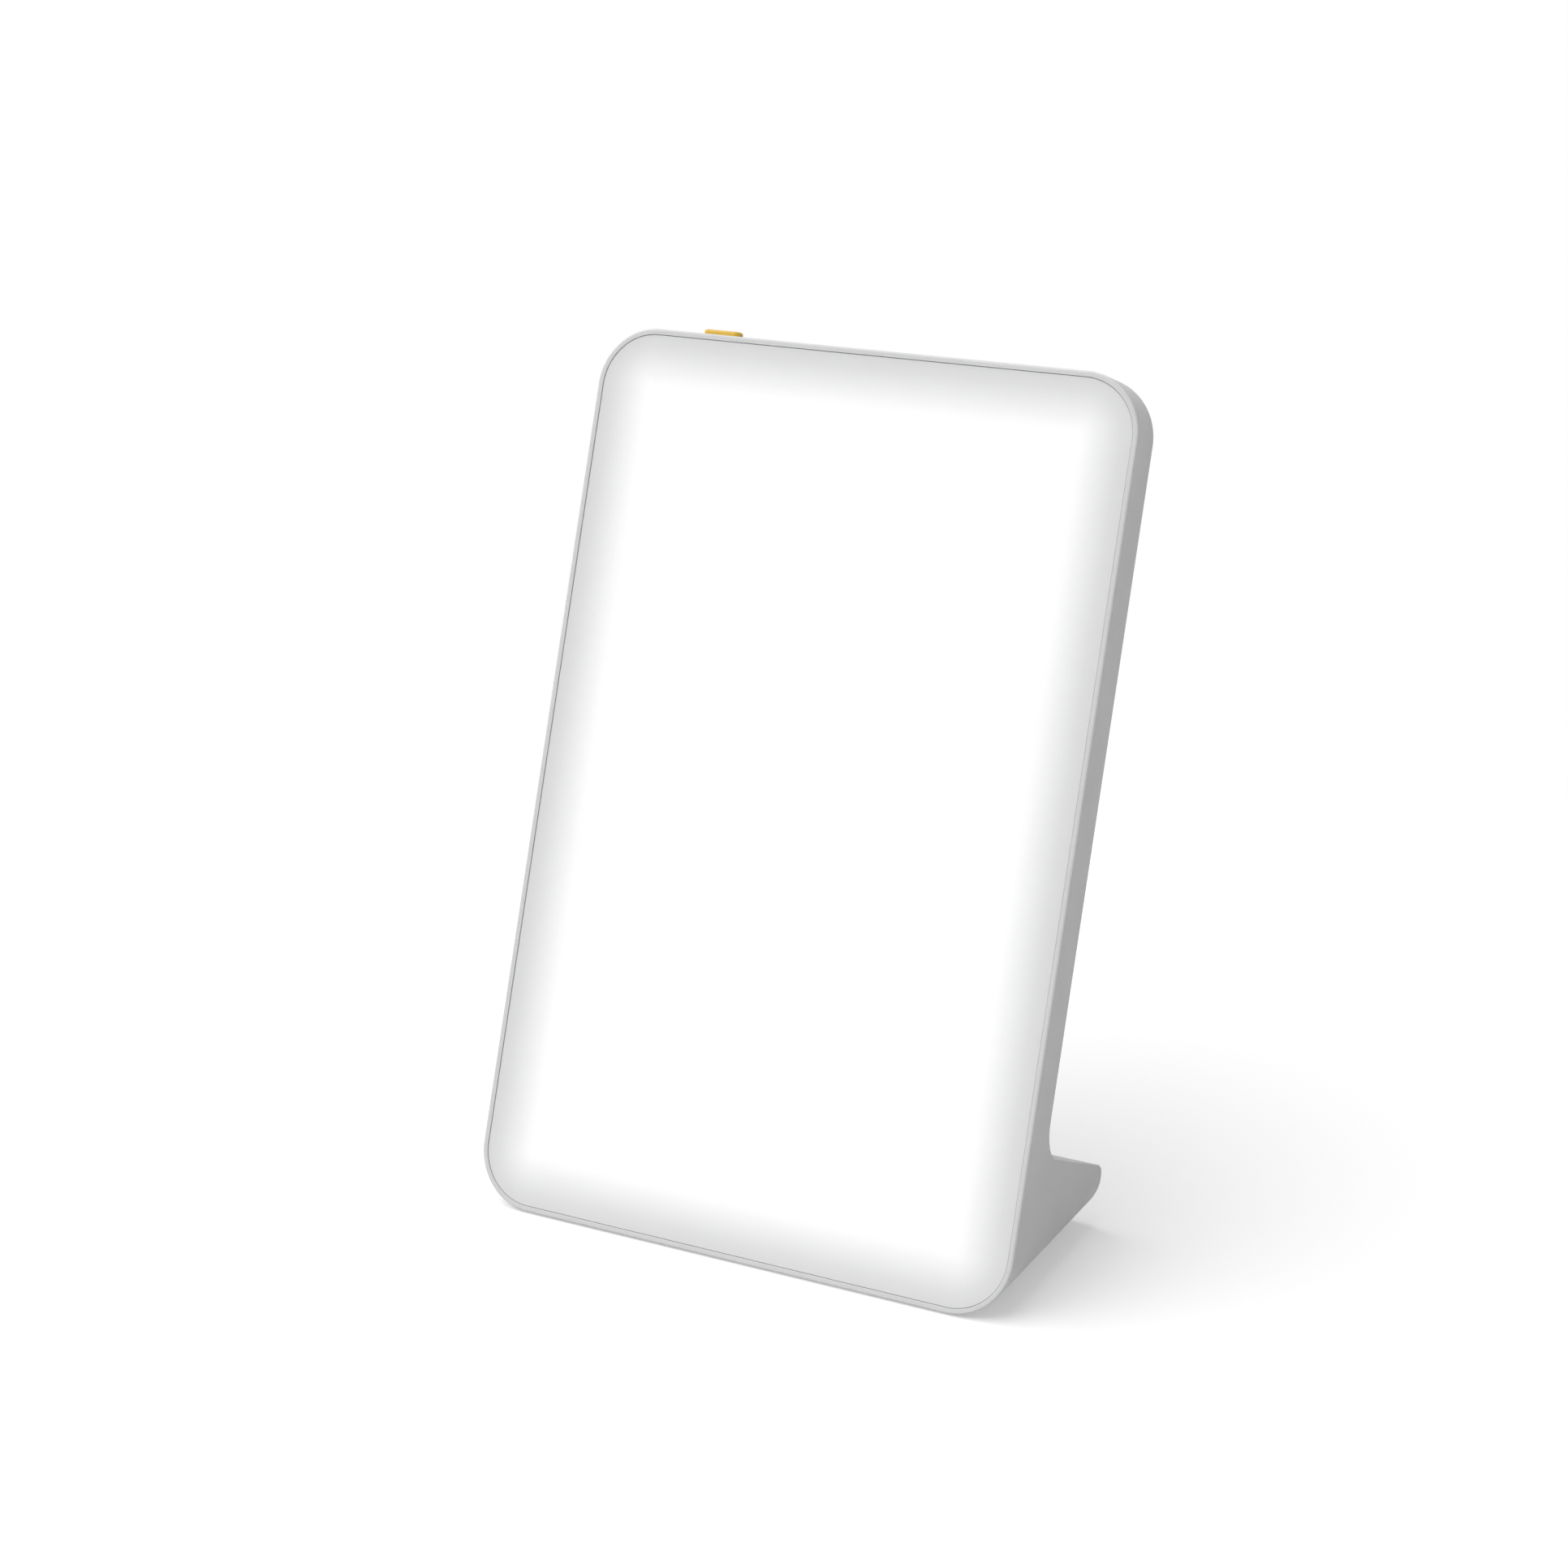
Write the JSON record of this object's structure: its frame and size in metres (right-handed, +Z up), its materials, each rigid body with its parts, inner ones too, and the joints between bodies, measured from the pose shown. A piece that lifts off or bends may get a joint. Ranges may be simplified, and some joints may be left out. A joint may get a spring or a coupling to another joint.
{
  "type": "light therapy lamp",
  "caption": "Table-top light therapy lamp: a flat glowing opal panel that leans back over a moulded-in foot, with a press button in its top edge.",
  "frame": {"origin": "on the table, under the middle of the lamp's bounding box", "axes": "+Z up, -Y is the way that the glowing panel faces, +X to the right as seen from the front"},
  "size_m": [0.25, 0.1422, 0.3645],
  "materials": {
    "casing": "satin moulded plastic",
    "cover": "fine-textured moulded plastic",
    "diffuser": "opal, satin, lit from behind",
    "foam": "matt foam",
    "reflector": "satin white",
    "led_board": "white solder mask",
    "lead_red": "satin lead cover",
    "lead_grey": "satin lead cover",
    "sheet_metal": "mill finish",
    "button": "satin yellow plastic",
    "black_plastic": "satin black",
    "circuit_board": "green solder mask",
    "capacitor_can": "sleeved can",
    "brass": "bright",
    "steel": "zinc-plated",
    "rubber": "matt"
  },
  "bodies": {
    "lamp": {"outer_housing": "casing", "rear_cover": "cover", "base_plate": "cover", "diffuser_panel": "diffuser", "diffuser_gasket": "foam", "reflector_tray": "reflector", "board_connector_1": "reflector", "board_connector_2": "reflector", "led_strip_1": "led_board", "led_strip_2": "led_board", "led_strip_3": "led_board", "led_strip_4": "led_board", "led_strip_5": "led_board", "led_strip_6": "led_board", "led_cable": "lead_red", "strip_jumper_1": "lead_red", "strip_jumper_2": "lead_red", "strip_jumper_3": "lead_red", "strip_jumper_4": "lead_red", "strip_jumper_5": "lead_red", "switch_cable": "lead_grey", "heat_spreader": "sheet_metal", "switch_body": "black_plastic", "inductor": "black_plastic", "driver_chip": "black_plastic", "dc_jack": "black_plastic", "switch_board": "circuit_board", "driver_board": "circuit_board", "capacitor_1": "capacitor_can", "capacitor_2": "capacitor_can", "dc_jack_pin": "brass", "cover_screw_1": "steel", "cover_screw_2": "steel", "cover_screw_3": "steel", "cover_screw_4": "steel", "cover_screw_5": "steel", "cover_screw_6": "steel", "spreader_screw_1": "steel", "spreader_screw_2": "steel", "spreader_screw_3": "steel", "spreader_screw_4": "steel", "base_screw_1": "steel", "base_screw_2": "steel", "base_screw_3": "steel", "base_screw_4": "steel", "board_screw_1": "steel", "board_screw_2": "steel", "board_screw_3": "steel", "board_screw_4": "steel", "switch_screw_1": "steel", "switch_screw_2": "steel", "rubber_foot_1": "rubber", "rubber_foot_2": "rubber", "rubber_foot_3": "rubber", "rubber_foot_4": "rubber"},
    "button": {"power_button": "button", "switch_plunger": "black_plastic"}
  },
  "joints": [
    {"name": "button_press", "type": "slide", "parent": "lamp", "child": "button", "axis": [0, -0.3256, -0.9455], "range_m": [0, 0.0008], "stiffness_N_per_m": 1500, "springref_m": -0.0005}
  ]
}
